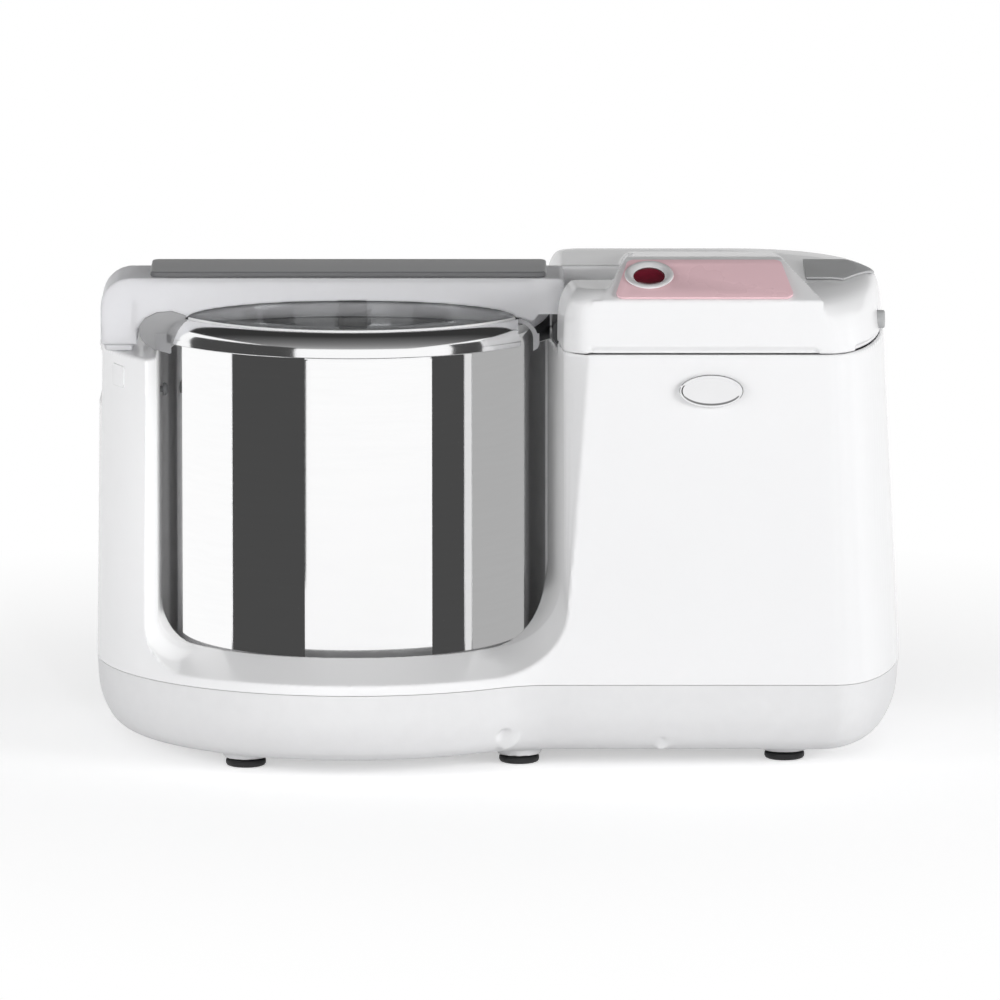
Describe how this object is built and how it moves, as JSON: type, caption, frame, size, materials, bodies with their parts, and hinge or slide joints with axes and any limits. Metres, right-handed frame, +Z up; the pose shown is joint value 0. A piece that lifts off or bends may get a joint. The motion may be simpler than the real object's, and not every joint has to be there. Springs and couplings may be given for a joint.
{
  "type": "wet grinder",
  "caption": "Tabletop wet grinder with a steel drum and roller stones under a hinged clear lid, driven by a belt from a motor in the side tower.",
  "frame": {"origin": "middle of the footprint on the table, under the feet", "axes": "+X to the tower's side seen from the front, -Y to the front, +Z up"},
  "size_m": [0.402, 0.2376, 0.2516],
  "materials": {
    "gloss_white": "glossy white moulded plastic",
    "pan_white": "off-white moulded plastic with a fine grain",
    "rubber_black": "matt black rubber",
    "grip_grey": "dark grey smoked plastic",
    "pad_grey": "satin grey plastic",
    "frost_clear": "milky clear plastic",
    "lid_clear": "clear plastic",
    "panel_pink": "dusty pink printed film",
    "button_red": "dark red translucent plastic",
    "chrome": "bright plating",
    "polished_steel": "polished stainless steel",
    "plain_steel": "plain steel",
    "cast_aluminium": "cast aluminium",
    "granite": "dressed grey granite",
    "black_plastic": "black moulded plastic",
    "nylon_white": "off-white nylon",
    "copper": "varnished copper wire",
    "lamination": "stacked steel sheet"
  },
  "bodies": {
    "housing": {"base_pan": "pan_white", "foot_1": "rubber_black", "foot_2": "rubber_black", "foot_3": "rubber_black", "foot_4": "rubber_black", "foot_5": "rubber_black", "foot_6": "rubber_black", "base_screw_1": "plain_steel", "base_screw_2": "plain_steel", "base_screw_3": "plain_steel", "base_screw_4": "plain_steel", "main_housing": "gloss_white", "front_plate": "chrome", "side_bumper": "rubber_black", "cord_grommet": "rubber_black", "tower_cap": "gloss_white", "shelf_pad": "pad_grey", "control_panel": "panel_pink", "button_ring": "chrome", "power_switch": "black_plastic", "overload_protector": "black_plastic", "hinge_pin": "plain_steel", "stone_holder": "nylon_white", "holder_spring": "plain_steel", "scraper": "nylon_white", "roller_axle_left": "plain_steel", "axle_nut_left": "nylon_white", "roller_axle_right": "plain_steel", "axle_nut_right": "nylon_white", "spindle_housing": "cast_aluminium", "lower_bearing": "plain_steel", "upper_bearing": "plain_steel", "drive_belt": "rubber_black", "motor_stator": "lamination", "lower_winding": "copper", "upper_winding": "copper", "lower_end_bell": "cast_aluminium", "upper_end_bell": "cast_aluminium", "motor_plate": "plain_steel", "run_capacitor": "nylon_white", "capacitor_clip": "plain_steel", "terminal_block": "nylon_white"},
    "lid": {"lid_arm": "frost_clear", "lid_window": "lid_clear", "lid_handle_strip": "grip_grey", "lid_hinge_barrel": "black_plastic"},
    "drum": {"drum": "polished_steel", "base_stone": "granite", "drum_coupling": "cast_aluminium", "spindle": "plain_steel", "driven_pulley": "black_plastic"},
    "motor": {"motor_rotor": "lamination", "motor_shaft": "plain_steel", "motor_pulley": "cast_aluminium", "cooling_fan": "nylon_white"},
    "left_stone": {"roller_stone_left": "granite"},
    "right_stone": {"roller_stone_right": "granite"},
    "start_button": {"power_button": "button_red"},
    "reset": {"reset_button": "black_plastic"},
    "latch": {"latch_button": "gloss_white"}
  },
  "joints": [
    {"name": "lid_hinge", "type": "hinge", "parent": "housing", "child": "lid", "pos_m": [0.035, -0.01732, 0.2122], "axis": [0, 1, 0], "range_deg": [0, 70]},
    {"name": "drum_spin", "type": "hinge", "parent": "housing", "child": "drum", "pos_m": [-0.0725, 0.00968, 0.054], "axis": [0, 0, 1], "continuous": true},
    {"name": "motor_spin", "type": "hinge", "parent": "housing", "child": "motor", "pos_m": [0.1095, 0.00968, 0.09], "axis": [0, 0, 1], "continuous": true},
    {"name": "left_stone_spin", "type": "hinge", "parent": "housing", "child": "left_stone", "pos_m": [-0.0725, 0.00968, 0.0703], "axis": [-0.9397, 0, 0.342], "continuous": true},
    {"name": "right_stone_spin", "type": "hinge", "parent": "housing", "child": "right_stone", "pos_m": [-0.0725, 0.00968, 0.0703], "axis": [0.9397, 0, 0.342], "continuous": true},
    {"name": "start_press", "type": "slide", "parent": "housing", "child": "start_button", "axis": [0, 0.4298, -0.9029], "range_m": [0, 0.0025], "stiffness_N_per_m": 600, "springref_m": -0.001},
    {"name": "reset_press", "type": "slide", "parent": "housing", "child": "reset", "axis": [-1, 0, 0], "range_m": [0, 0.002], "stiffness_N_per_m": 500, "springref_m": -0.001},
    {"name": "latch_press", "type": "slide", "parent": "housing", "child": "latch", "axis": [0.9138, 0.4062, 0], "range_m": [0, 0.002], "stiffness_N_per_m": 500, "springref_m": -0.001}
  ],
  "couplings": [
    {"joint": "motor_spin", "follows": "drum_spin", "ratio": 7.8},
    {"joint": "left_stone_spin", "follows": "drum_spin", "ratio": 2.9238},
    {"joint": "right_stone_spin", "follows": "drum_spin", "ratio": 2.9238}
  ]
}
